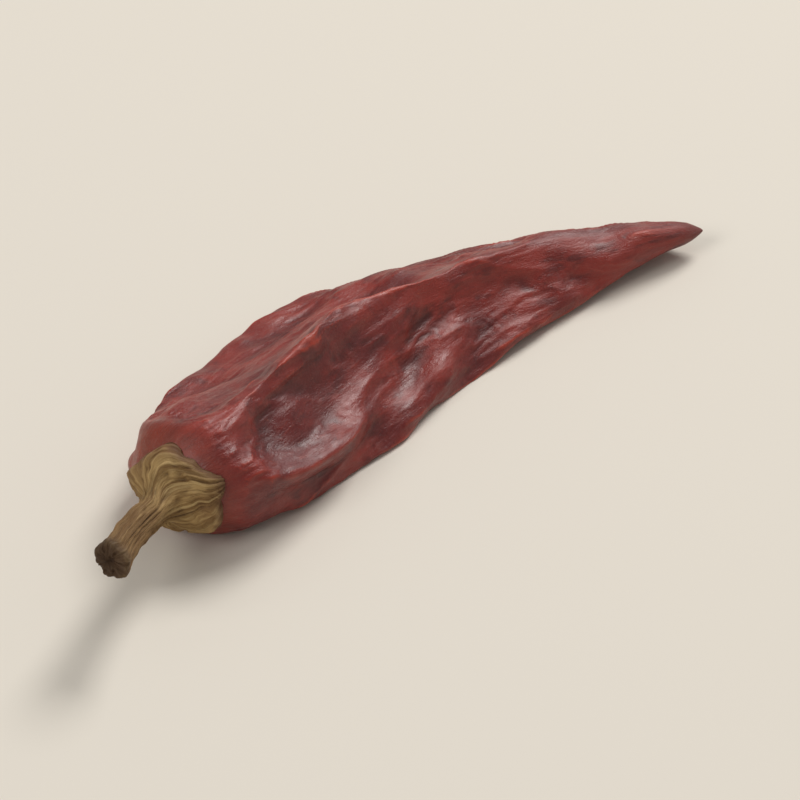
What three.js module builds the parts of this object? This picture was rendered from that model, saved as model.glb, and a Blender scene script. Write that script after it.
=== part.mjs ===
import * as THREE from "three";
import { ConvexHull } from "three/addons/math/ConvexHull.js";
import { SimplexNoise } from "three/addons/math/SimplexNoise.js";

// Dried chilli pepper: a thin-skinned pod that has shrivelled into long folds, with its dry calyx
// and a stub of stalk. It lies on the ground along X, the broad stem end at -X, the tip at +X.
// Millimetres, +Z up, ground at z = 0.

// Fresh pod, before it dries
const POD_LENGTH = 69;
const POD_WIDTH_SCALE = 1.08;
const POD_HEIGHT_SCALE = 0.9;
// Distance from the stem end along the pod, and the fresh radius there
const POD_PROFILE = [
  [0, 0], [0.25, 2.2], [1.1, 4.2], [3.2, 6.1], [7, 7.7], [13, 8.6], [23, 8.3], [35, 7.2],
  [47, 5.6], [56.5, 3.85], [63.2, 2.3], [67.1, 1.1], [69, 0],
];
// The line through the middle of the pod
const POD_AXIS = [
  [-31, -4.5, 5.9], [-19, -1.0, 4.2], [-4, 1.8, 3.3], [10, 1.2, 3.0], [23, -2.2, 2.4],
  [33, -7.2, 2.3],
];
// Low swellings of the fresh skin: height as a share of the radius, and length
const FRESH_BUMP = 0.044;
const FRESH_BUMP_LENGTH = 15;

// Skin: triangle edge length, and how the skin shrivels
const EDGE = 0.88;
const SEED = 3;
const DRIED_VOLUME = 0.44;
const SHRINK_ROUND = 0.03;
const SHRINK_LONG = 0.03;
const SHRINK_UNEVEN = 0.18;
// Length and width of the broad and the narrow patches that shrink unevenly
const BROAD_PATCH = [14, 5];
const NARROW_PATCH = [6, 2.5];
const NARROW_SHARE = 0.6;
const SKIN_STIFFNESS = 0.9;
const BEND_STIFFNESS = 0.42;
const DRYING_STEPS = 160;
const SWEEPS_PER_STEP = 10;
const AXIS_HOLD = 0.15;
const SMOOTHING = [0.45, -0.47, 0.45, -0.47, 0.45, -0.47];

// Inside the pod three dividing walls keep the skin out along three lines, and between them it sinks in
const CORE_SHARE = 0.3;
const WALL_SHARE = 0.8;
const WALL_ANGLES = [1.85, 3.55, 5.75];
const WALL_HALF_WIDTH = 0.16;
const WALL_UNEVEN = 0.12;
const WALL_UNEVEN_LENGTH = 11;
const WALL_WANDER = 0.35;
const WALL_WANDER_LENGTH = 30;
const WALL_FADE_FROM = 5;
const WALL_FADE_TO = 13;

// The hard cap under the calyx keeps its shape, and the skin around it follows less and less
const CAP_RADIUS = 5;
const CAP_EASE = 3.2;
const CAP_HOLD = 0.08;
const CAP_END = 10;
const CAP_SEARCH_TO = 0.4;
const CAP_SEARCH_STEPS = 40;

// How deep the lowest spots of the skin are pressed flat where the pod rests
const REST_PRESS = 0.42;
const SETTLE_TURNS = 12;

// Calyx and stalk
const FIT_GAP = 0.3;
const COLUMNS = 50;
const CALYX_RADIUS = 4.1;
const CALYX_TEETH = 5;
const CALYX_TOOTH = 0.75;
const CALYX_TOOTH_HALF_WIDTH = 0.42;
const CALYX_RIM = 0.6;
const CALYX_RIB = 0.3;
const CALYX_CRINKLE = 0.3;
const CALYX_RAGGED = 0.25;
const CALYX_NECK = 1.9;
const CALYX_NECK_FALL = 0.8;
const STALK_RADIUS = 1.25;
const STALK_LENGTH = 10;
const STALK_RIB = 0.17;
const STALK_CRINKLE = 0.16;
const STALK_TWIST = 1.3;
const STALK_BEND = [0, -2.2, 1.6];
const STALK_KNOB = 0.45;
const STALK_KNOB_SHARE = 0.13;
const STALK_BEND_FROM = 1.5;
const STALK_END_HOLLOW = 0.3;
const STALK_END_ROUGH = 0.25;
// Rows of the stem's surface, from the middle of the cut end to the middle of the calyx underside
const STEM_ROWS = [["end", 4], ["stalk", 22], ["top", 10], ["rim", 2], ["under", 6]];

THREE.MathUtils.seededRandom(SEED);
const noise = new SimplexNoise({ random: () => THREE.MathUtils.seededRandom() });

const toVector3 = (p) => new THREE.Vector3(p[0], p[1], p[2]);
const axis = new THREE.CatmullRomCurve3(POD_AXIS.map(toVector3));
const profile = new THREE.SplineCurve(POD_PROFILE.map((p) => new THREE.Vector2(p[0], p[1])));

// Position and directions of the pod's axis at a distance from the stem end
function axisFrame(along) {
  const t = THREE.MathUtils.clamp(along / POD_LENGTH, 0, 1);
  const point = axis.getPointAt(t);
  const forward = axis.getTangentAt(t);
  const side = new THREE.Vector3(0, 0, 1).cross(forward).normalize();
  const up = forward.clone().cross(side);
  return { point, forward, side, up };
}

// Rings of the fresh pod, with about the same triangle size everywhere
function freshRings() {
  const count = Math.round(profile.getLength() / (EDGE * 0.866));
  const outline = profile.getSpacedPoints(count);
  const rings = [];
  let next = 0;
  outline.forEach((at, i) => {
    const pole = i === 0 || i === count;
    const size = pole ? 1 : Math.max(5, Math.round((2 * Math.PI * at.y) / EDGE));
    const frame = axisFrame(at.x);
    const turn = pole ? 0 : (i % 2) / 2;
    const points = [];
    for (let j = 0; j < size; j++) {
      const angle = (2 * Math.PI * (j + turn)) / size;
      const point = frame.point.clone();
      if (!pole) {
        const wide = Math.cos(angle) * at.y * POD_WIDTH_SCALE;
        const high = Math.sin(angle) * at.y * POD_HEIGHT_SCALE;
        const bump = freshBump(at, angle);
        point.addScaledVector(frame.side, wide * (1 + bump));
        point.addScaledVector(frame.up, high * (1 + bump));
      }
      points.push(point);
    }
    rings.push({ first: next, size, turn, points, along: at.x, radius: at.y, centre: frame.point });
    next += size;
  });
  return rings;
}

function freshBump(at, angle) {
  const away = THREE.MathUtils.smoothstep(at.x, 2, CAP_END) * Math.min(1, at.y / 4);
  const place = [at.x / FRESH_BUMP_LENGTH, 2 * Math.cos(angle), 2 * Math.sin(angle)];
  return FRESH_BUMP * away * noise.noise3d(...place);
}

// Triangles between two neighbouring rings of any size
function joinRings(a, b, triangles) {
  if (a.size === 1) {
    for (let j = 0; j < b.size; j++) {
      triangles.push([a.first, b.first + ((j + 1) % b.size), b.first + j]);
    }
    return;
  }
  if (b.size === 1) {
    for (let j = 0; j < a.size; j++) {
      triangles.push([a.first + j, a.first + ((j + 1) % a.size), b.first]);
    }
    return;
  }
  let i = 0;
  let j = 0;
  while (i < a.size || j < b.size) {
    const nextA = (i + 1 + a.turn) / a.size;
    const nextB = (j + 1 + b.turn) / b.size;
    const here = a.first + (i % a.size);
    const there = b.first + (j % b.size);
    if (j >= b.size || (i < a.size && nextA < nextB)) {
      triangles.push([here, a.first + ((i + 1) % a.size), there]);
      i++;
    } else {
      triangles.push([here, b.first + ((j + 1) % b.size), there]);
      j++;
    }
  }
}

// Volume inside the skin, and how each vertex changes it
function enclosedVolume(at, triangles, slope) {
  slope.fill(0);
  let total = 0;
  for (let t = 0; t < triangles.length; t++) {
    const a = 3 * triangles[t][0];
    const b = 3 * triangles[t][1];
    const c = 3 * triangles[t][2];
    for (let k = 0; k < 3; k++) {
      const m = (k + 1) % 3;
      const n = (k + 2) % 3;
      slope[a + k] += at[b + m] * at[c + n] - at[b + n] * at[c + m];
      slope[b + k] += at[c + m] * at[a + n] - at[c + n] * at[a + m];
      slope[c + k] += at[a + m] * at[b + n] - at[a + n] * at[b + m];
    }
    total += at[a] * (at[b + 1] * at[c + 2] - at[b + 2] * at[c + 1]);
    total += at[a + 1] * (at[b + 2] * at[c] - at[b] * at[c + 2]);
    total += at[a + 2] * (at[b] * at[c + 1] - at[b + 1] * at[c]);
  }
  return total / 6;
}

// Every edge of the skin, with the corners that face each other across it
function skinEdges(triangles, vertexCount) {
  const edges = new Map();
  triangles.forEach(([a, b, c]) => {
    [[a, b, c], [b, c, a], [c, a, b]].forEach(([from, to, opposite]) => {
      const low = Math.min(from, to);
      const high = Math.max(from, to);
      const key = low * vertexCount + high;
      const edge = edges.get(key) || { low, high, facing: [] };
      edge.facing.push(opposite);
      edges.set(key, edge);
    });
  });
  return Array.from(edges.values());
}

// How much more or less than the rest the skin shrinks at a place
function unevenShare([x, y, z]) {
  const broad = noise.noise3d(x / BROAD_PATCH[0] + 31, y / BROAD_PATCH[1], z / BROAD_PATCH[1]);
  const narrow = noise.noise3d(x / NARROW_PATCH[0] - 17, y / NARROW_PATCH[1], z / NARROW_PATCH[1]);
  return broad + NARROW_SHARE * narrow;
}

// Springs that hold the skin's lengths and resist bending, each with its own share of shrinkage
function skinSprings(at, edges, alongOf) {
  const springs = [];
  const add = (a, b, stiffness) => {
    const dx = at[3 * b] - at[3 * a];
    const dy = at[3 * b + 1] - at[3 * a + 1];
    const dz = at[3 * b + 2] - at[3 * a + 2];
    const length = Math.hypot(dx, dy, dz);
    const long = Math.min(1, Math.abs(alongOf[a] - alongOf[b]) / length) ** 2;
    const middle = [at[3 * a] + dx / 2, at[3 * a + 1] + dy / 2, at[3 * a + 2] + dz / 2];
    const even = THREE.MathUtils.lerp(SHRINK_ROUND, SHRINK_LONG, long);
    const shrink = even + SHRINK_UNEVEN * unevenShare(middle);
    springs.push({ a: 3 * a, b: 3 * b, length, shrink, stiffness });
  };
  edges.forEach((edge) => add(edge.low, edge.high, SKIN_STIFFNESS));
  edges.forEach((edge) => add(edge.facing[0], edge.facing[1], BEND_STIFFNESS));
  for (let i = springs.length - 1; i > 0; i--) {
    const j = Math.floor(THREE.MathUtils.seededRandom() * (i + 1));
    [springs[i], springs[j]] = [springs[j], springs[i]];
  }
  return springs;
}

// How far out the inside of the pod keeps the skin, as a share of the fresh radius
function innerShare(along, angle) {
  const wander = WALL_WANDER * noise.noise(along / WALL_WANDER_LENGTH, 5);
  const full = 2 * Math.PI;
  let wall = 0;
  WALL_ANGLES.forEach((middle) => {
    const turned = THREE.MathUtils.euclideanModulo(angle - middle - wander + Math.PI, full);
    const away = (turned - Math.PI) / WALL_HALF_WIDTH;
    wall = Math.max(wall, Math.exp(-(away ** 2)));
  });
  const fade = THREE.MathUtils.smoothstep(along, WALL_FADE_FROM, WALL_FADE_TO);
  const place = [along / WALL_UNEVEN_LENGTH, Math.cos(angle), Math.sin(angle)];
  const reach = WALL_SHARE + WALL_UNEVEN * noise.noise3d(...place);
  return THREE.MathUtils.lerp(CORE_SHARE, reach, wall * fade);
}

function pullSprings(at, springs, dryness, backwards) {
  const count = springs.length;
  for (let k = 0; k < count; k++) {
    const spring = springs[backwards ? count - 1 - k : k];
    const a = spring.a;
    const b = spring.b;
    const dx = at[b] - at[a];
    const dy = at[b + 1] - at[a + 1];
    const dz = at[b + 2] - at[a + 2];
    const length = Math.sqrt(dx * dx + dy * dy + dz * dz);
    const wanted = spring.length * (1 - dryness * spring.shrink);
    const move = (0.5 * spring.stiffness * (length - wanted)) / length;
    at[a] += dx * move;
    at[a + 1] += dy * move;
    at[a + 2] += dz * move;
    at[b] -= dx * move;
    at[b + 1] -= dy * move;
    at[b + 2] -= dz * move;
  }
}

function holdRings(at, rings, inner) {
  rings.forEach((ring) => {
    const middle = [0, 0, 0];
    for (let v = ring.first; v < ring.first + ring.size; v++) {
      for (let k = 0; k < 3; k++) {
        middle[k] += at[3 * v + k] / ring.size;
      }
    }
    const wanted = ring.centre.toArray();
    const shift = wanted.map((w, k) => AXIS_HOLD * (w - middle[k]));
    for (let v = ring.first; v < ring.first + ring.size; v++) {
      const out = [0, 1, 2].map((k) => at[3 * v + k] - middle[k]);
      const reach = Math.hypot(...out);
      const push = ring.size > 1 && reach < inner[v] ? (inner[v] - reach) / reach : 0;
      for (let k = 0; k < 3; k++) {
        at[3 * v + k] += shift[k] + out[k] * push;
      }
    }
  });
}

// How firmly a ring keeps its fresh place: 1 under the calyx, 0 away from it
function capHold(ring) {
  const beyond = Math.hypot(ring.along, ring.radius) - CAP_RADIUS;
  if (ring.along > CAP_END || beyond > CAP_EASE) {
    return 0;
  }
  return beyond <= 0 ? 1 : CAP_HOLD * (1 - THREE.MathUtils.smoothstep(beyond, 0, CAP_EASE));
}

// Let the pod dry: the skin shrinks unevenly while the inside shrinks much more
function dryPod() {
  const rings = freshRings();
  const triangles = [];
  for (let i = 0; i + 1 < rings.length; i++) {
    joinRings(rings[i], rings[i + 1], triangles);
  }
  const at = new Float64Array(rings.flatMap((ring) => ring.points.flatMap((p) => p.toArray())));
  const fresh = at.slice();
  const vertexCount = at.length / 3;
  const alongOf = rings.flatMap((ring) => ring.points.map(() => ring.along));
  const inner = rings.flatMap((ring) => ring.points.map((p, j) => {
    const angle = (2 * Math.PI * (j + ring.turn)) / ring.size;
    return ring.radius * innerShare(ring.along, angle);
  }));
  const hold = rings.flatMap((ring) => ring.points.map(() => capHold(ring)));
  const edges = skinEdges(triangles, vertexCount);
  const springs = skinSprings(at, edges, alongOf);
  const slope = new Float64Array(at.length);
  const freshVolume = enclosedVolume(at, triangles, slope);
  for (let step = 1; step <= DRYING_STEPS; step++) {
    const dryness = step / DRYING_STEPS;
    for (let sweep = 0; sweep < SWEEPS_PER_STEP; sweep++) {
      pullSprings(at, springs, dryness, sweep % 2 === 1);
      const wanted = freshVolume * (1 - dryness * (1 - DRIED_VOLUME));
      const missing = wanted - enclosedVolume(at, triangles, slope);
      const steepness = slope.reduce((sum, s) => sum + s * s, 0);
      const move = (6 * missing) / steepness;
      for (let i = 0; i < at.length; i++) {
        at[i] += move * slope[i];
      }
      holdRings(at, rings, inner);
      for (let v = 0; v < vertexCount; v++) {
        for (let k = 0; k < 3; k++) {
          at[3 * v + k] += hold[v] * (fresh[3 * v + k] - at[3 * v + k]);
        }
        at[3 * v + 2] = Math.max(0, at[3 * v + 2]);
      }
    }
  }
  smoothSkin(at, edges, hold);
  return { at, triangles };
}

// Take out single-triangle jaggedness without shrinking the folds
function smoothSkin(at, edges, hold) {
  SMOOTHING.forEach((amount) => {
    const sum = new Float64Array(at.length);
    const count = new Float64Array(at.length / 3);
    edges.forEach(({ low, high }) => {
      for (let k = 0; k < 3; k++) {
        sum[3 * low + k] += at[3 * high + k];
        sum[3 * high + k] += at[3 * low + k];
      }
      count[low]++;
      count[high]++;
    });
    for (let v = 0; v < count.length; v++) {
      const loose = hold[v] === 1 ? 0 : amount;
      for (let k = 0; k < 3; k++) {
        at[3 * v + k] += loose * (sum[3 * v + k] / count[v] - at[3 * v + k]);
      }
      at[3 * v + 2] = Math.max(0, at[3 * v + 2]);
    }
  });
}

function meshOf(name, at, triangles, colour, roughness) {
  const geometry = new THREE.BufferGeometry();
  geometry.setAttribute("position", new THREE.BufferAttribute(Float32Array.from(at), 3));
  geometry.setIndex(triangles.flat());
  geometry.computeVertexNormals();
  const material = new THREE.MeshStandardMaterial({ color: colour, roughness, metalness: 0 });
  const mesh = new THREE.Mesh(geometry, material);
  mesh.name = name;
  return mesh;
}

// How far along the pod the fresh skin is at a given radius near the stem end, found by halving
function capDepth(radius) {
  let low = 0;
  let high = CAP_SEARCH_TO;
  for (let i = 0; i < CAP_SEARCH_STEPS; i++) {
    const middle = (low + high) / 2;
    if (profile.getPoint(middle).y < radius) {
      low = middle;
    } else {
      high = middle;
    }
  }
  return profile.getPoint(low).x;
}

// Height of the calyx top above the fresh skin, where the plate of the calyx rises into the stalk
function calyxThickness(radius) {
  return CALYX_RIM + CALYX_NECK * Math.exp(-Math.max(0, radius - STALK_RADIUS) / CALYX_NECK_FALL);
}

// Radius and height of the skin under the calyx
function underCalyx(radius) {
  return FIT_GAP - capDepth(Math.min(Math.max(radius, 0.01), CAP_RADIUS));
}

// 1 on the five main ribs of the stem, falling to 0 between them
function ribShare(angle) {
  return 0.5 + 0.5 * Math.cos(CALYX_TEETH * angle);
}

function toothShare(angle) {
  const pitch = (2 * Math.PI) / CALYX_TEETH;
  const away = Math.abs(THREE.MathUtils.euclideanModulo(angle + pitch / 2, pitch) - pitch / 2);
  return Math.max(0, 1 - away / CALYX_TOOTH_HALF_WIDTH);
}

// Waves on the stalk's skin, which run on into the calyx
function stalkCrinkle(turned, share) {
  return STALK_CRINKLE * noise.noise3d(2.5 * Math.cos(turned), 2.5 * Math.sin(turned), 3.5 * share);
}

// Radius from the stem's middle line, and distance outwards from the end of the pod
function stemRadiusAndHeight(kind, share, angle) {
  const top = CALYX_NECK + CALYX_RIM + FIT_GAP;
  const twist = { end: 1, stalk: 1 - share, top: 0, rim: 0, under: 0 }[kind];
  const turned = angle - STALK_TWIST * twist;
  const rib = ribShare(turned);
  const across = [Math.cos(turned), Math.sin(turned)];
  const ragged = CALYX_RAGGED * noise.noise3d(3 * across[0], 3 * across[1], 9);
  const edge = CALYX_RADIUS + CALYX_TOOTH * toothShare(angle) + ragged;
  if (kind === "end") {
    const full = STALK_RADIUS + STALK_KNOB + STALK_RIB * rib;
    const rough = STALK_END_ROUGH * noise.noise3d(2 * across[0] * share, 2 * across[1] * share, 2);
    return [0.9 * full * share, top + STALK_LENGTH - STALK_END_HOLLOW * (1 - share) ** 2 + rough];
  }
  if (kind === "stalk") {
    const knob = STALK_KNOB * Math.exp(-((share / STALK_KNOB_SHARE) ** 2));
    const radius = STALK_RADIUS + knob + STALK_RIB * rib + stalkCrinkle(turned, share);
    return [radius, top + STALK_LENGTH * (1 - share)];
  }
  if (kind === "top") {
    const from = STALK_RADIUS + STALK_RIB * rib + stalkCrinkle(turned, 1);
    const radius = THREE.MathUtils.lerp(from, edge, share);
    const place = [1.1 * radius * across[0], 1.1 * radius * across[1], 6];
    const relief = CALYX_RIB * rib + CALYX_CRINKLE * noise.noise3d(...place);
    const fade = Math.sin(Math.PI * Math.min(1, 0.05 + 0.85 * share));
    return [radius, underCalyx(radius) + calyxThickness(radius) + relief * fade];
  }
  if (kind === "rim") {
    const bulge = share < 1 ? 0.1 : 0;
    return [edge + bulge, underCalyx(edge) + calyxThickness(edge) * (1 - share)];
  }
  return [edge * (1 - share), underCalyx(edge * (1 - share))];
}

function stemPoint(kind, share, angle, frame) {
  const [radius, height] = stemRadiusAndHeight(kind, share, angle);
  const bend = (Math.max(0, height - STALK_BEND_FROM) / STALK_LENGTH) ** 2;
  const oval = { end: 0, stalk: 0, top: share, rim: 1, under: 1 }[kind];
  const wide = THREE.MathUtils.lerp(1, POD_WIDTH_SCALE, oval);
  const high = THREE.MathUtils.lerp(1, POD_HEIGHT_SCALE, oval);
  const point = frame.point.clone().addScaledVector(frame.forward, -height);
  point.addScaledVector(toVector3(STALK_BEND), bend);
  point.addScaledVector(frame.side, Math.cos(angle) * radius * wide);
  point.addScaledVector(frame.up, Math.sin(angle) * radius * high);
  return point;
}

function middleOf(points) {
  return points.reduce((sum, p) => sum.add(p), new THREE.Vector3()).divideScalar(points.length);
}

function buildStem() {
  const frame = axisFrame(0);
  const points = [];
  const rings = [];
  const triangles = [];
  STEM_ROWS.forEach(([kind, count], part) => {
    for (let i = part === 0 ? 0 : 1; i <= count; i++) {
      const ring = [];
      for (let j = 0; j < COLUMNS; j++) {
        ring.push(stemPoint(kind, i / count, (2 * Math.PI * j) / COLUMNS, frame));
      }
      const pole = (kind === "end" && i === 0) || (kind === "under" && i === count);
      const list = pole ? [middleOf(ring)] : ring;
      rings.push({ first: points.length, size: list.length, turn: 0 });
      points.push(...list);
    }
  });
  for (let i = 0; i + 1 < rings.length; i++) {
    joinRings(rings[i], rings[i + 1], triangles);
  }
  return { at: points.flatMap((p) => p.toArray()), triangles };
}

// Middle of the weight of a closed skin
function weightMiddle(at, triangles) {
  const middle = new THREE.Vector3();
  let total = 0;
  triangles.forEach((corners) => {
    const [a, b, c] = corners.map((v) => new THREE.Vector3().fromArray(at, 3 * v));
    const share = a.dot(new THREE.Vector3().crossVectors(b, c));
    middle.addScaledVector(a.add(b).add(c), share / 4);
    total += share;
  });
  return middle.divideScalar(total);
}

function pointsOf(at) {
  const points = [];
  for (let v = 0; v < at.length; v += 3) {
    points.push(new THREE.Vector3().fromArray(at, v));
  }
  return points;
}

// The side of the hull that lies straight below the middle of the weight
function faceBelow(points, middle) {
  const hull = new ConvexHull().setFromPoints(points);
  let found = null;
  let deepest = Infinity;
  hull.faces.forEach((face) => {
    if (face.normal.z >= 0) {
      return;
    }
    const drop = (face.constant - face.normal.dot(middle)) / -face.normal.z;
    if (drop < deepest) {
      deepest = drop;
      found = face.normal.clone();
    }
  });
  return found;
}

// Let the whole pepper come to rest on its lowest points, press those spots flat, and put the origin
// in the middle of its length and width, on the ground
function settle(pod, stem) {
  const turn = new THREE.Quaternion();
  const down = new THREE.Vector3(0, 0, -1);
  const middle = weightMiddle(pod.at, pod.triangles);
  const turned = (at) => pointsOf(at).map((p) => p.applyQuaternion(turn));
  for (let i = 0; i < SETTLE_TURNS; i++) {
    const normal = faceBelow(turned(pod.at), middle.clone().applyQuaternion(turn));
    turn.premultiply(new THREE.Quaternion().setFromUnitVectors(normal, down));
  }
  const podPoints = turned(pod.at);
  const stemPoints = turned(stem.at);
  const box = new THREE.Box3().setFromPoints(podPoints.concat(stemPoints));
  const shift = box.getCenter(new THREE.Vector3()).negate();
  shift.z = -Math.min(...podPoints.map((p) => p.z)) - REST_PRESS;
  podPoints.forEach((p) => {
    p.add(shift);
    p.z = Math.max(0, p.z);
  });
  stemPoints.forEach((p) => p.add(shift));
  pod.at = podPoints.flatMap((p) => p.toArray());
  stem.at = stemPoints.flatMap((p) => p.toArray());
}

const pod = dryPod();
const stem = buildStem();
settle(pod, stem);
const group = new THREE.Group();
group.name = "dried_chilli_pepper";
group.add(meshOf("pod", pod.at, pod.triangles, 0x7a1f17, 0.45));
group.add(meshOf("stem", stem.at, stem.triangles, 0x9a7a3c, 0.8));

export default group;
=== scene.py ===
import math
from collections import namedtuple

import bpy
import numpy as np
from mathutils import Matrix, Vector, noise
from mathutils.bvhtree import BVHTree


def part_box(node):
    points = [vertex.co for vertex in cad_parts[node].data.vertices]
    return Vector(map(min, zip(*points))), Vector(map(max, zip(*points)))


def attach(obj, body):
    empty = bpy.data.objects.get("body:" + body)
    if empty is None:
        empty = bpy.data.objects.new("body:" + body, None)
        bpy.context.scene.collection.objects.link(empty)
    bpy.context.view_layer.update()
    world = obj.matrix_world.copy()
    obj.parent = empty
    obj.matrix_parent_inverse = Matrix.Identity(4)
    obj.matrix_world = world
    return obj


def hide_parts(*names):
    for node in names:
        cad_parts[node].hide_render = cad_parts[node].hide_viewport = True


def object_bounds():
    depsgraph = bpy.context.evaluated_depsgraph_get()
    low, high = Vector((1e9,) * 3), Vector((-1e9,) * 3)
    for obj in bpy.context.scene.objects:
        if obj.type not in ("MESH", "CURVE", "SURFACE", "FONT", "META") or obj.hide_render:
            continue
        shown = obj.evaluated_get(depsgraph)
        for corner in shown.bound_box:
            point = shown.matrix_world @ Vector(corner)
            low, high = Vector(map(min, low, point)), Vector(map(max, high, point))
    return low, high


# Dried chilli pepper on a pale floor. Metres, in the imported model's frame: stalk at -X, tip at +X.
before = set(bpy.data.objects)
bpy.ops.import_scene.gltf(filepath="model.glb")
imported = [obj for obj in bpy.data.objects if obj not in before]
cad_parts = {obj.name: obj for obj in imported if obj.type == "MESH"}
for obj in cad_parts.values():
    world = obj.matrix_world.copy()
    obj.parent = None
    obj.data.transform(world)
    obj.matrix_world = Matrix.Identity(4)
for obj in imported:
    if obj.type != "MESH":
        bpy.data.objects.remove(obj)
cad_low, cad_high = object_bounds()

MM = 0.001
# Points closer than this are welded, and these stand in for a gap in mm or an area in m2 of nothing
WELD = 0.001 * MM
TINY_GAP = 1e-6
TINY_AREA = 1e-15

# Both pieces: rounds of subdivision, and slices across X in which the centreline is found
ROUNDS = 2
POD_SLICES = 48
STEM_SLICES = 30
EVEN_SLICES = 5

# Facets of the pod: the turn, as a length, over which two faces count as one facet
FACET_ANGLE = 0.42
FACET_ROUNDS = 14
# Big folds: rounds of averaging below and above their size, gain, and greatest move in mm
EVEN_ROUNDS = 3
FOLD_ROUNDS = 16
FOLD_GAIN = 1.1
FOLD_LIMIT = 0.24

# Raised lines of the skin: height in mm, cells to the mm along and round the pod,
# width of a line in the noise, and share of the skin that has them
Lines = namedtuple("Lines", "seed height along around width share")
CREST_LINES = (
    Lines(seed=30, height=0.28, along=0.050, around=0.20, width=0.26, share=0.85),
    Lines(seed=37, height=0.17, along=0.100, around=0.44, width=0.32, share=0.70),
    Lines(seed=44, height=0.09, along=0.240, around=1.00, width=0.40, share=0.70),
)
# Short wrinkles across the hollows, and lines that run in under the calyx
CROSS_LINES = Lines(seed=71, height=0.10, along=0.62, around=0.36, width=0.42, share=0.70)
NECK_LINES = Lines(seed=83, height=0.20, along=0.120, around=1.30, width=0.50, share=1.20)
# How far lines wander, how their flanks fall, and the share of their height that sinks between them
BEND = 0.6
BEND_SCALE = 0.6
BEND_SEEDS = (11, 12, 13)
FLANK = 1.5
SINK = 0.35
# Patches that have lines: size against the lines, and the noise, less their share, where they begin
PATCH_SCALE = 0.3
PATCH_SEED = 20
PATCH_FROM = 0.45
PATCH_TO = 0.8
# Distances in mm from the calyx and the tip over which lines fade in, and the hollow that has wrinkles
CALYX_REACH = 1.5
NECK_REACH = 9
TIP_REACH = 10
FREE_FROM = -1
CROSS_HOLLOW = 0.5
# The skin coordinates go round the pod as round a tube of this radius, in mm
TUBE = 6

# Calyx and stalk: the coordinates run along the fibres, and round a tube of this radius, in mm
FIBRE_LENGTH = 4
FIBRE_TUBE = 3.2
FIBRE_HEIGHT = 0.11
Fibres = namedtuple("Fibres", "seed share along around")
FIBRE_LAYERS = (
    Fibres(seed=5, share=1, along=0.5, around=1.9),
    Fibres(seed=6, share=0.9, along=0.9, around=4.2),
    Fibres(seed=8, share=0.4, along=4, around=2.5),
)
# Gaps in mm between which the calyx is drawn to the pod, and the gap that is left
HUG_FROM = 0.9
HUG_TO = 0.45
HUG_GAP = 0.03
# The dry brown rim of the calyx, by its gap from the pod in mm
RIM_FROM = 1.4
RIM_TO = 0.3

# How a hollow is read from a surface: rounds of averaging, and full depth in mm
FINE_HOLLOW = (12, 0.22)
WIDE_HOLLOW = (90, 0.8)
STEM_HOLLOW = (10, 0.14)

# Colours as screen values: the skin
DEEP_RED = (103, 22, 18)
BRICK_RED = (140, 41, 30)
DARK_PATCH = (76, 13, 14)
ORANGE_STREAK = (168, 58, 34)
# Pinkish-grey patches: partly dust on the skin, partly painted sheen
DUST_AND_SHEEN_PINK = (150, 82, 72)
FOLD_SHADE = (58, 9, 11)
HOLLOW_SHADE = (56, 10, 11)
# Painted highlight: paler orange along the crests of the skin
CREST_HIGHLIGHT = (182, 62, 36)
PALE_FLECK = (190, 98, 52)
DARK_FLECK = (54, 11, 10)
NECK_TAN = (146, 66, 32)
TIP_BROWN = (78, 20, 14)
# The calyx, the stalk and the floor
STRAW = (180, 148, 96)
MUSTARD = (132, 102, 58)
DARK_THREAD = (96, 64, 34)
PALE_THREAD = (206, 178, 124)
STALK_BROWN = (112, 80, 46)
OUTER_BROWN = (116, 62, 32)
# Painted shade: darker in the grooves of the calyx and stalk
GROOVE_SHADE = (62, 38, 22)
# Painted highlight: paler on the raised ribs of the calyx and stalk
RIB_HIGHLIGHT = (200, 168, 116)
RIM_BROWN = (88, 50, 28)
DARK_SPECK = (60, 36, 20)
CUT_END = (58, 38, 25)
FLOOR_COLOUR = (228, 221, 209)
NOISE_DETAIL = 4

# Camera, turned and lifted as in the photograph, and the lens for a crop of its view
VIEW_TURN = -44
VIEW_LIFT = 38
LENS = 180
SENSOR = 36
CLIP = (0.01, 20)
FRAME_FILL = 0.88
# The point looked at, in mm from the middle of the pepper
AIM = (1.2, -3.6, -4.5)

# Soft lights: name, turn from the camera, lift, size in m and power in W
LIGHTS = (
    ("back_key", 150, 46, 0.55, 9.8),
    ("side_fill", -50, 38, 0.6, 4.6),
)
LIGHT_DISTANCE = 1.2
LIGHT_TINT = (1, 0.985, 0.965)
WORLD_STRENGTH = 0.32
FLOOR_HALF = 4


# Meshes as arrays

def node_mesh(name):
    """Welded vertices and triangles of a solid."""
    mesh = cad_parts[name].data
    mesh.calc_loop_triangles()
    points = np.zeros(len(mesh.vertices) * 3)
    mesh.vertices.foreach_get("co", points)
    points = points.reshape(-1, 3)
    corners = np.zeros(len(mesh.loop_triangles) * 3, int)
    mesh.loop_triangles.foreach_get("vertices", corners)
    keys = np.round(points / WELD).astype(np.int64)
    _, first, same = np.unique(keys, axis=0, return_index=True, return_inverse=True)
    faces = same.ravel()[corners].reshape(-1, 3)
    a, b, c = faces.T
    return points[first], faces[(a != b) & (b != c) & (c != a)]


def edges_of(faces):
    """Unique edges, the edge on each side of each face, and the two corners facing each edge."""
    sides = np.concatenate([faces[:, [0, 1]], faces[:, [1, 2]], faces[:, [2, 0]]])
    facing = np.concatenate([faces[:, 2], faces[:, 0], faces[:, 1]])
    edges, which = np.unique(np.sort(sides, axis=1), axis=0, return_inverse=True)
    which = which.ravel()
    wings = facing[np.argsort(which, kind="stable")].reshape(-1, 2)
    return edges, which.reshape(3, -1).T, wings


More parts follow.
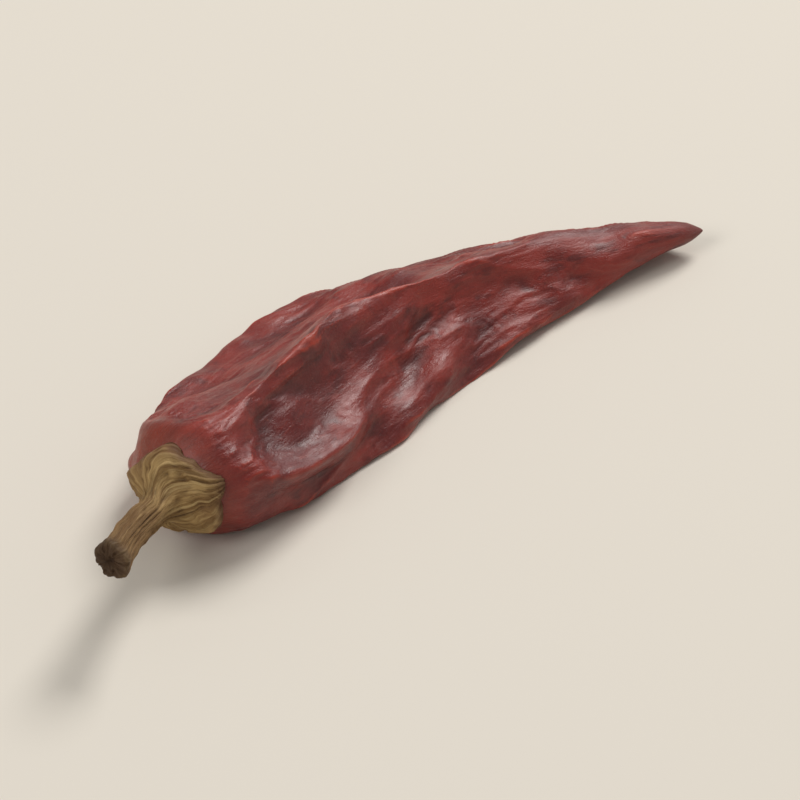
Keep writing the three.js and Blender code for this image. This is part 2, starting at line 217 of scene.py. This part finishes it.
def sum_at(index, values, count):
    """Vectors added up at the places that the index gives."""
    return np.stack([np.bincount(index, values[:, k], count) for k in range(3)], axis=1)


def neighbour_sum(points, edges):
    a, b = edges.T
    return sum_at(a, points[b], len(points)) + sum_at(b, points[a], len(points))


def subdivide(points, faces):
    """One round of Loop subdivision of a closed triangle mesh, with Loop's own weights."""
    edges, side, wings = edges_of(faces)
    count = len(points)
    middle = 0.375 * (points[edges[:, 0]] + points[edges[:, 1]])
    middle += 0.125 * (points[wings[:, 0]] + points[wings[:, 1]])
    valence = np.bincount(edges.ravel(), minlength=count)
    beta = (0.625 - (0.375 + 0.25 * np.cos(2 * np.pi / valence)) ** 2) / valence
    kept = points * (1 - valence * beta)[:, None] + neighbour_sum(points, edges) * beta[:, None]
    ab, bc, ca = (side + count).T
    a, b, c = faces.T
    parts = [(a, ab, ca), (b, bc, ab), (c, ca, bc), (ab, bc, ca)]
    return np.concatenate([kept, middle]), np.concatenate([np.stack(p, axis=1) for p in parts])


def face_crosses(points, faces):
    """Normal of each face, twice as long as its area."""
    a, b, c = (points[faces[:, k]] for k in range(3))
    return np.cross(b - a, c - a)


def normals_of(points, faces):
    crosses = face_crosses(points, faces)
    total = sum(sum_at(faces[:, k], crosses, len(points)) for k in range(3))
    return total / np.maximum(np.linalg.norm(total, axis=1), TINY_AREA)[:, None]


def smoothed(points, edges, rounds):
    """Points averaged with their neighbours, several times."""
    valence = np.bincount(edges.ravel(), minlength=len(points))
    for _ in range(rounds):
        points = (neighbour_sum(points, edges) + points) / (valence + 1)[:, None]
    return points


def hollowness(points, faces, edges, scale):
    """From -1 on a crest to 1 in a hollow, read over the distance that the scale gives."""
    rounds, depth = scale
    smooth = smoothed(points, edges, rounds)
    drop = np.einsum("ij,ij->i", smooth - points, normals_of(smooth, faces))
    return np.clip(drop / (depth * MM), -1, 1)


def noise_at(places, seed):
    """Smooth noise from about -1 to 1 at each place, shifted to a part of its own for each seed."""
    shift = Vector((seed * 7.31, seed * 3.17, seed * 5.93))
    return np.array([noise.noise(Vector(place) + shift) for place in places])


def ramp(values, start, end):
    """0 up to the start, 1 from the end, straight between. The end may be the lower one."""
    return np.clip((values - start) / (end - start), 0, 1)


def mean_along(x, values, slices):
    """Mean of the values in slices across X, evened out and given back at each x."""
    ends = np.linspace(x.min(), x.max(), slices + 1)
    which = np.clip(np.digitize(x, ends) - 1, 0, slices - 1)
    weight = np.bincount(which, minlength=slices)
    found = weight > 0
    at = 0.5 * (ends[1:] + ends[:-1])[found]
    mean = np.bincount(which, values, slices)[found] / weight[found]
    padded = np.pad(mean, EVEN_SLICES // 2, mode="edge")
    even = np.convolve(padded, np.ones(EVEN_SLICES) / EVEN_SLICES, mode="valid")
    return np.interp(x, at, even)


def unrolled(points, slices):
    """Place along X in mm, offset in mm from the centreline as seen along X, and its length."""
    x = points[:, 0]
    middle = np.column_stack([mean_along(x, points[:, k], slices) for k in (1, 2)])
    off = (points[:, 1:] - middle) / MM
    return x / MM, off, np.linalg.norm(off, axis=1)


def keep_inside(points, node):
    low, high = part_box(node)
    return np.clip(points, np.array(low), np.array(high))


def make_piece(name, points, faces, material, node, values):
    """A smooth-shaded piece in place of its solid, with the values its material reads."""
    mesh = bpy.data.meshes.new(name)
    mesh.from_pydata(points.tolist(), [], faces.tolist())
    mesh.polygons.foreach_set("use_smooth", np.ones(len(faces), bool))
    for key, value in values.items():
        kind, field = ("FLOAT_VECTOR", "vector") if value.ndim == 2 else ("FLOAT", "value")
        attribute = mesh.attributes.new(key, kind, "POINT")
        attribute.data.foreach_set(field, value.astype(np.float32).ravel())
    mesh.materials.append(material)
    mesh.update()
    piece = bpy.data.objects.new(name, mesh)
    bpy.context.scene.collection.objects.link(piece)
    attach(piece, "root")
    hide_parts(node)


# Pod

def facet_normals(points, faces):
    """Face normals averaged with those of the faces beside them, but not across a sharp fold."""
    _, side, _ = edges_of(faces)
    one, other = (np.argsort(side.T.ravel(), kind="stable") % len(faces)).reshape(-1, 2).T
    normals = face_crosses(points, faces)
    area = np.linalg.norm(normals, axis=1)[:, None]
    normals = normals / area
    for _ in range(FACET_ROUNDS):
        apart = np.linalg.norm(normals[one] - normals[other], axis=1)
        weight = np.exp(-0.5 * (apart / FACET_ANGLE) ** 2)[:, None]
        total = normals * area
        total += sum_at(one, normals[other] * area[other] * weight, len(faces))
        total += sum_at(other, normals[one] * area[one] * weight, len(faces))
        normals = total / np.linalg.norm(total, axis=1)[:, None]
    return normals


def flatten_facets(points, faces):
    """Turn the faces to the averaged normals, so that the skin lies flatter between its folds."""
    normals = facet_normals(points, faces)
    share = 1 / np.bincount(faces.ravel(), minlength=len(points))[:, None]
    for _ in range(FACET_ROUNDS):
        middle = points[faces].mean(axis=1)
        move = np.zeros_like(points)
        for k in range(3):
            drop = np.einsum("ij,ij->i", normals, middle - points[faces[:, k]])
            move += sum_at(faces[:, k], normals * drop[:, None], len(points))
        points = points + move * share
    return points


def sharpen_folds(points, edges):
    """Make crests and creases of the big folds crisper, each point moving a little at most."""
    even = smoothed(points, edges, EVEN_ROUNDS)
    rise = FOLD_GAIN * (even - smoothed(points, edges, FOLD_ROUNDS))
    size = np.linalg.norm(rise, axis=1) / (FOLD_LIMIT * MM)
    return even + rise / np.sqrt(1 + size ** 2)[:, None]


def line_height(skin, lines):
    """Height in mm of thin raised lines, in patches, with the skin a little sunk between them."""
    cells = skin * [lines.along, lines.around, lines.around]
    bend = np.column_stack([noise_at(cells * BEND_SCALE, lines.seed + seed) for seed in BEND_SEEDS])
    value = noise_at(cells + BEND * bend, lines.seed)
    line = ramp(np.abs(value), lines.width, 0) ** FLANK
    patch = noise_at(cells * PATCH_SCALE, lines.seed + PATCH_SEED)
    cover = ramp(patch, PATCH_FROM - lines.share, PATCH_TO - lines.share)
    return lines.height * (line - SINK) * cover


def wrinkle_height(skin, hollow, from_calyx, from_tip):
    """Height in mm of all the wrinkles, which fade out at the calyx and the tip."""
    height = sum(line_height(skin, lines) for lines in CREST_LINES)
    height += line_height(skin, CROSS_LINES) * ramp(hollow, 0, CROSS_HOLLOW)
    height *= ramp(from_calyx, CALYX_REACH, NECK_REACH) * ramp(from_tip, 0, TIP_REACH)
    near_calyx = ramp(from_calyx, NECK_REACH, CALYX_REACH) * ramp(from_calyx, 0, CALYX_REACH)
    return height + line_height(skin, NECK_LINES) * near_calyx


def skin_places(points):
    """Place of each point on the skin in mm: along the pod, and round a tube of even radius."""
    x, off, away = unrolled(points, POD_SLICES)
    return np.column_stack([x, TUBE * off / mean_along(x, away, POD_SLICES)[:, None]])


def build_pod(material):
    points, faces = node_mesh("pod")
    facets = flatten_facets(points, faces)
    for _ in range(ROUNDS):
        facets, _ = subdivide(facets, faces)
        points, faces = subdivide(points, faces)
    edges, _, _ = edges_of(faces)
    skin = skin_places(points)
    low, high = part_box("pod")
    from_calyx = (points[:, 0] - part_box("stem")[1][0]) / MM
    from_tip = (high[0] - points[:, 0]) / MM
    hollow = hollowness(points, faces, edges, WIDE_HOLLOW)
    height = wrinkle_height(skin, hollow, from_calyx, from_tip)
    sharp = sharpen_folds(facets, edges)
    sharp += normals_of(sharp, faces) * (height * MM)[:, None]
    free = ramp(from_calyx, FREE_FROM, CALYX_REACH)[:, None]
    points = keep_inside(points + (sharp - points) * free, "pod")
    values = {
        "hollow": hollowness(points, faces, edges, FINE_HOLLOW),
        "fold": hollowness(points, faces, edges, WIDE_HOLLOW),
        "along": (points[:, 0] - low[0]) / (high[0] - low[0]),
        "skin": skin,
    }
    make_piece("pod_skin", points, faces, material, "pod", values)
    return points, faces


# Calyx and stalk

def gaps_to(points, pod):
    """Nearest place on the pod to each point, and the gap in mm."""
    found = [pod.find_nearest(Vector(point)) for point in points]
    places = np.array([place for place, _, _, _ in found])
    gaps = np.array([gap for _, _, _, gap in found])
    return places, gaps / MM


def hug(points, pod):
    """Close the underside of the calyx down onto the skin of the pod."""
    places, gap = gaps_to(points, pod)
    pull = ramp(gap, HUG_FROM, HUG_TO) * np.maximum(0, 1 - HUG_GAP / np.maximum(gap, TINY_GAP))
    return points + pull[:, None] * (places - points)


def fibre_height(fibre, away):
    """Height in mm of the fibres, which fade out at the middle of the cut end."""
    height = 0
    for layer in FIBRE_LAYERS:
        cells = fibre * [layer.along, layer.around, layer.around]
        height = height + layer.share * noise_at(cells, layer.seed)
    return FIBRE_HEIGHT * height * ramp(away, 0, 1)


def build_stem(material, pod):
    points, faces = node_mesh("stem")
    for _ in range(ROUNDS):
        points, faces = subdivide(points, faces)
    edges, _, _ = edges_of(faces)
    low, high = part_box("stem")
    x, off, away = unrolled(points, STEM_SLICES)
    out = (high[0] / MM - x) / (high[0] - low[0]) * MM
    around = FIBRE_TUBE * off / np.maximum(away, TINY_GAP)[:, None]
    fibre = np.column_stack([FIBRE_LENGTH * out, around])
    points = hug(points, pod)
    points += normals_of(points, faces) * (fibre_height(fibre, away) * MM)[:, None]
    points = keep_inside(points, "stem")
    _, gap = gaps_to(points, pod)
    values = {
        "hollow": hollowness(points, faces, edges, STEM_HOLLOW),
        "out": out,
        "away": away,
        "rim": ramp(gap, RIM_FROM, RIM_TO),
        "fibre": fibre,
    }
    make_piece("calyx_and_stalk", points, faces, material, "stem", values)


# Materials

class Nodes:
    """A node material, built by short calls."""

    def __init__(self, name):
        self.material = bpy.data.materials.new(name)
        self.material.use_nodes = True
        self.tree = self.material.node_tree
        self.shader = self.tree.nodes["Principled BSDF"]

    def feed(self, socket, value):
        """Link a socket to another, or set it."""
        if isinstance(value, bpy.types.NodeSocket):
            self.tree.links.new(value, socket)
        else:
            socket.default_value = value

    def add(self, kind, inputs, **settings):
        node = self.tree.nodes.new(kind)
        for key, value in settings.items():
            setattr(node, key, value)
        for key, value in inputs.items():
            self.feed(node.inputs[key], value)
        return node

    def surface(self, **values):
        """Set sockets of the shader, by their names with _ for a space."""
        for key, value in values.items():
            self.feed(self.shader.inputs[key.replace("_", " ")], value)

    def attribute(self, name, part="Fac"):
        return self.add("ShaderNodeAttribute", {}, attribute_name=name).outputs[part]

    def noise(self, vector, stretch, rough=0.6, warp=0.0):
        """Noise with the given cells to the mm along and round the surface."""
        place = self.add("ShaderNodeMapping", {"Vector": vector, "Scale": stretch}).outputs["Vector"]
        inputs = {"Vector": place, "Scale": 1, "Detail": NOISE_DETAIL}
        inputs.update({"Roughness": rough, "Distortion": warp})
        return self.add("ShaderNodeTexNoise", inputs).outputs["Fac"]

    def range(self, value, low, high, to_low=0.0, to_high=1.0):
        inputs = {"Value": value, "From Min": low, "From Max": high, "To Min": to_low, "To Max": to_high}
        node = self.add("ShaderNodeMapRange", inputs, interpolation_type="SMOOTHSTEP")
        return node.outputs["Result"]

    def mix(self, share, a, b):
        node = self.add("ShaderNodeMix", {}, data_type="RGBA")
        self.feed(node.inputs["Factor"], share)
        self.feed(node.inputs["A"], a)
        self.feed(node.inputs["B"], b)
        return node.outputs["Result"]

    def tint(self, base, value, low, high, share, shade):
        """Base, with up to the given share of a colour where the value runs from low to high."""
        return self.mix(self.range(value, low, high, 0, share), base, colour(shade))

    def bump(self, height, strength, distance, below=None):
        """Bump of a height, over a distance in mm, on top of the bump below."""
        inputs = {"Height": height, "Strength": strength, "Distance": distance * MM}
        if below is not None:
            inputs["Normal"] = below
        return self.add("ShaderNodeBump", inputs).outputs["Normal"]


def colour(shade):
    """Linear colour from screen values 0 to 255."""
    def linear(value):
        share = value / 255
        return share / 12.92 if share <= 0.04045 else ((share + 0.055) / 1.055) ** 2.4
    return (*(linear(value) for value in shade), 1)


def skin_colour(n, skin, streak):
    hollow = n.attribute("hollow")
    fold = n.attribute("fold")
    along = n.attribute("along")
    blotch = n.noise(skin, (0.09, 0.15, 0.15), 0.6, 0.4)
    patch = n.noise(skin, (0.28, 0.5, 0.5), 0.6, 0.3)
    fleck = n.noise(skin, (1.8, 3.2, 3.2), 0.6)
    dust_and_sheen = n.noise(skin, (0.5, 0.8, 0.8), 0.7, 0.6)
    base = n.mix(n.range(blotch, 0.36, 0.62), colour(DEEP_RED), colour(BRICK_RED))
    base = n.tint(base, patch, 0.5, 0.7, 0.7, DARK_PATCH)
    base = n.tint(base, streak, 0.55, 0.8, 0.3, ORANGE_STREAK)
    # Pinkish-grey patches at random: partly dust, partly painted sheen
    base = n.tint(base, dust_and_sheen, 0.5, 0.75, 0.35, DUST_AND_SHEEN_PINK)
    base = n.tint(base, fold, 0.0, 0.6, 0.6, FOLD_SHADE)
    base = n.tint(base, hollow, 0.0, 0.7, 0.6, HOLLOW_SHADE)
    # Painted highlight: paler orange laid along the crests, read from the convex surface
    base = n.tint(base, hollow, -0.35, -0.85, 0.6, CREST_HIGHLIGHT)
    base = n.tint(base, fleck, 0.66, 0.78, 0.45, PALE_FLECK)
    base = n.tint(base, fleck, 0.34, 0.24, 0.5, DARK_FLECK)
    base = n.tint(base, along, 0.08, 0.0, 0.5, NECK_TAN)
    return n.tint(base, along, 0.92, 1.0, 0.6, TIP_BROWN)


def skin_material():
    """Dry leathery skin with a satin sheen."""
    n = Nodes("dried_chilli_skin")
    skin = n.attribute("skin", "Vector")
    streak = n.noise(skin, (0.22, 2.4, 2.4), 0.6, 0.5)
    pebble = n.noise(skin, (3.6, 4.8, 4.8), 0.6)
    crackle = n.noise(skin, (0.9, 1.5, 1.5), 0.7, 1.2)
    patchy = n.noise(skin, (0.6, 1.1, 1.1), 0.6)
    grain = n.bump(crackle, 0.35, 0.2, n.bump(pebble, 0.4, 0.12))
    n.surface(
        Base_Color=skin_colour(n, skin, streak),
        Roughness=n.range(patchy, 0.35, 0.65, 0.36, 0.54),
        Specular_IOR_Level=0.5,
        Subsurface_Weight=0.12,
        Subsurface_Radius=(1.0, 0.25, 0.15),
        Subsurface_Scale=1.2 * MM,
        Coat_Weight=0.12,
        Coat_Roughness=0.28,
        Normal=n.bump(streak, 0.3, 0.25, grain),
    )
    return n.material


def stem_colour(n, fibre, thread, speck):
    hollow = n.attribute("hollow")
    out = n.attribute("out")
    patch = n.noise(fibre, (1.5, 0.8, 0.8), 0.6, 0.4)
    base = n.mix(n.range(patch, 0.38, 0.6), colour(STRAW), colour(MUSTARD))
    base = n.tint(base, thread, 0.46, 0.68, 0.6, DARK_THREAD)
    base = n.tint(base, thread, 0.45, 0.28, 0.6, PALE_THREAD)
    base = n.tint(base, out, 0.22, 0.55, 0.7, STALK_BROWN)
    base = n.tint(base, n.attribute("away"), 3.4, 4.8, 0.55, OUTER_BROWN)
    # Painted shade: darker in the grooves between the fibres
    base = n.tint(base, hollow, 0.1, 0.8, 0.75, GROOVE_SHADE)
    # Painted highlight: paler on the raised ribs, read from the convex surface
    base = n.tint(base, hollow, -0.2, -0.8, 0.4, RIB_HIGHLIGHT)
    base = n.tint(base, n.attribute("rim"), 0.0, 1.0, 0.8, RIM_BROWN)
    base = n.tint(base, speck, 0.64, 0.76, 0.6, DARK_SPECK)
    return n.tint(base, out, 0.8, 0.97, 0.85, CUT_END)


def stem_material():
    """Dull fibrous calyx and stalk, straw to brown, dark at the cut end."""
    n = Nodes("dry_calyx_and_stalk")
    fibre = n.attribute("fibre", "Vector")
    thread = n.noise(fibre, (0.7, 3.4, 3.4), 0.65, 0.2)
    speck = n.noise(fibre, (7, 4.5, 4.5), 0.6)
    n.surface(
        Base_Color=stem_colour(n, fibre, thread, speck),
        Roughness=n.range(thread, 0.3, 0.7, 0.6, 0.85),
        Specular_IOR_Level=0.35,
        Normal=n.bump(speck, 0.35, 0.12, n.bump(thread, 0.7, 0.25)),
    )
    return n.material


def floor_material():
    n = Nodes("pale_floor")
    n.surface(Base_Color=colour(FLOOR_COLOUR), Roughness=0.8)
    return n.material


# Surroundings

def build_floor():
    half = FLOOR_HALF
    corners = [(-half, -half, 0), (half, -half, 0), (half, half, 0), (-half, half, 0)]
    mesh = bpy.data.meshes.new("floor")
    mesh.from_pydata(corners, [], [(0, 1, 2, 3)])
    mesh.materials.append(floor_material())
    floor = bpy.data.objects.new("floor", mesh)
    bpy.context.scene.collection.objects.link(floor)


def direction(turn, lift):
    """Unit vector away from the object: turn 0 is -Y, 90 is +X."""
    a, e = math.radians(turn), math.radians(lift)
    return Vector((math.sin(a) * math.cos(e), -math.cos(a) * math.cos(e), math.sin(e)))


def aim(thing, target, turn, lift, distance):
    """Put a light or camera at a distance from its target, looking at it."""
    back = direction(turn, lift)
    thing.location = target + back * distance
    thing.rotation_euler = (-back).to_track_quat("-Z", "Y").to_euler()
    bpy.context.scene.collection.objects.link(thing)


def build_lights(target):
    for name, turn, lift, size, power in LIGHTS:
        light = bpy.data.lights.new(name, "AREA")
        light.shape = "DISK"
        light.size = size
        light.energy = power
        light.color = LIGHT_TINT
        aim(bpy.data.objects.new(name, light), target, VIEW_TURN + turn, lift, LIGHT_DISTANCE)


def build_world():
    world = bpy.data.worlds.new("studio")
    world.use_nodes = True
    background = world.node_tree.nodes["Background"]
    background.inputs["Color"].default_value = (*LIGHT_TINT, 1)
    background.inputs["Strength"].default_value = WORLD_STRENGTH
    bpy.context.scene.world = world


def build_camera(middle):
    data = bpy.data.cameras.new("camera")
    data.lens = LENS
    data.sensor_width = SENSOR
    data.clip_start, data.clip_end = CLIP
    camera = bpy.data.objects.new("camera", data)
    reach = (cad_high - cad_low).length / 2
    distance = reach * FRAME_FILL * LENS / (SENSOR / 2)
    aim(camera, middle + Vector(AIM) * MM, VIEW_TURN, VIEW_LIFT, distance)
    bpy.context.scene.camera = camera


middle = (cad_low + cad_high) / 2
pod_points, pod_faces = build_pod(skin_material())
build_stem(stem_material(), BVHTree.FromPolygons(pod_points.tolist(), pod_faces.tolist()))
build_floor()
build_lights(middle)
build_world()
build_camera(middle)
bpy.context.scene.view_settings.view_transform = "Standard"
